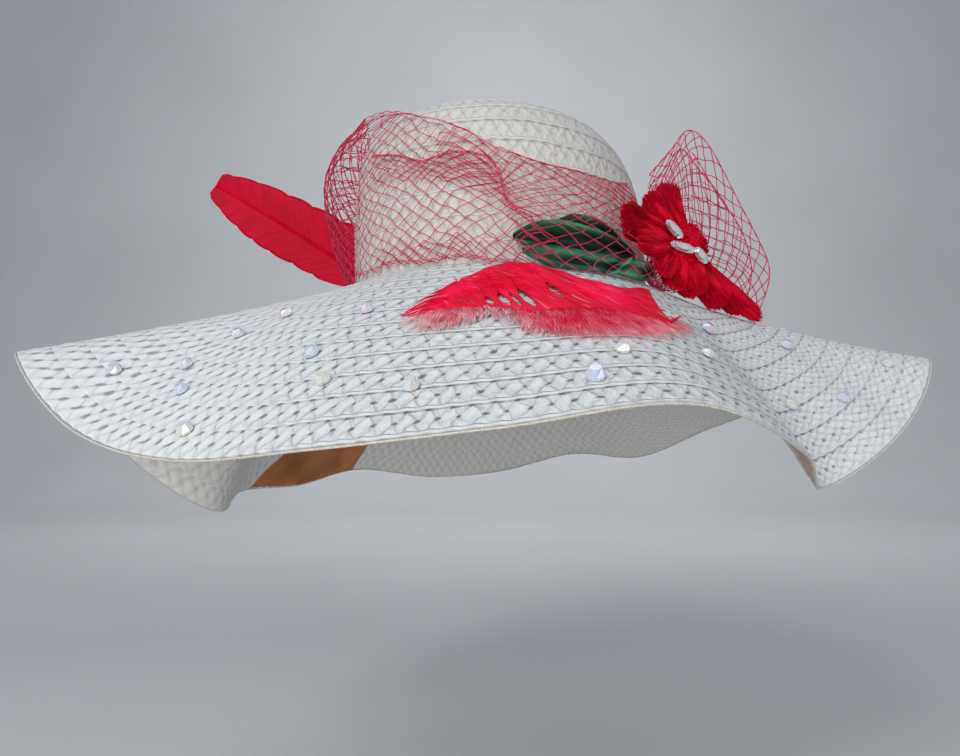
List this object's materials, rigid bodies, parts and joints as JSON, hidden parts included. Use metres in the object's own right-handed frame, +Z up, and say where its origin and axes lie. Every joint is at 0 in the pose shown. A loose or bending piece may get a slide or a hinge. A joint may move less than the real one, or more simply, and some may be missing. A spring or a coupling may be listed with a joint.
{
  "type": "wide-brimmed floral straw hat",
  "caption": "Wide floppy sewn-braid straw hat with a domed crown and waved brim, trimmed with netting, feathers, satin leaves and small cut stones.",
  "frame": {"origin": "the middle of the head opening, in the plane where the crown's wall meets the brim", "axes": "+Z up along the crown's axis, -Y the front, +X the wearer's left"},
  "size_m": [0.4514, 0.4459, 0.2313],
  "materials": {
    "straw_crown": "matte white paper straw braid",
    "straw_brim": "matte white paper straw braid with open holes",
    "binding": "matte tan cord",
    "net": "crimson nylon netting with a slight sheen",
    "feather": "glossy dyed feather",
    "down": "soft matte dyed down",
    "leaf": "deep green satin",
    "gem": "silver-backed cut stone",
    "crystal": "iridescent cut glass stone"
  },
  "bodies": {
    "root": {"crown": "straw_crown", "brim": "straw_brim", "edge_binding": "binding", "veil_wrap": "net", "veil_puff": "net", "veil_fan": "net", "feather_left": "feather", "feather_front": "feather", "feather_down": "down", "feather_tuft": "feather", "leaf_upper": "leaf", "leaf_lower": "leaf", "leaf_back": "leaf", "gem_1": "gem", "gem_2": "gem", "gem_3": "gem", "bead_01": "crystal", "bead_02": "crystal", "bead_03": "crystal", "bead_04": "crystal", "bead_05": "crystal", "bead_06": "crystal", "bead_07": "crystal", "bead_08": "crystal", "bead_09": "crystal", "bead_10": "crystal", "bead_11": "crystal", "bead_12": "crystal", "bead_13": "crystal", "bead_14": "crystal", "bead_15": "crystal", "bead_16": "crystal", "bead_17": "crystal", "bead_18": "crystal", "bead_19": "crystal", "bead_20": "crystal", "bead_21": "crystal", "bead_22": "crystal", "bead_23": "crystal", "bead_24": "crystal", "bead_25": "crystal", "bead_26": "crystal", "bead_27": "crystal", "bead_28": "crystal", "bead_29": "crystal", "bead_30": "crystal", "bead_31": "crystal"}
  },
  "joints": []
}
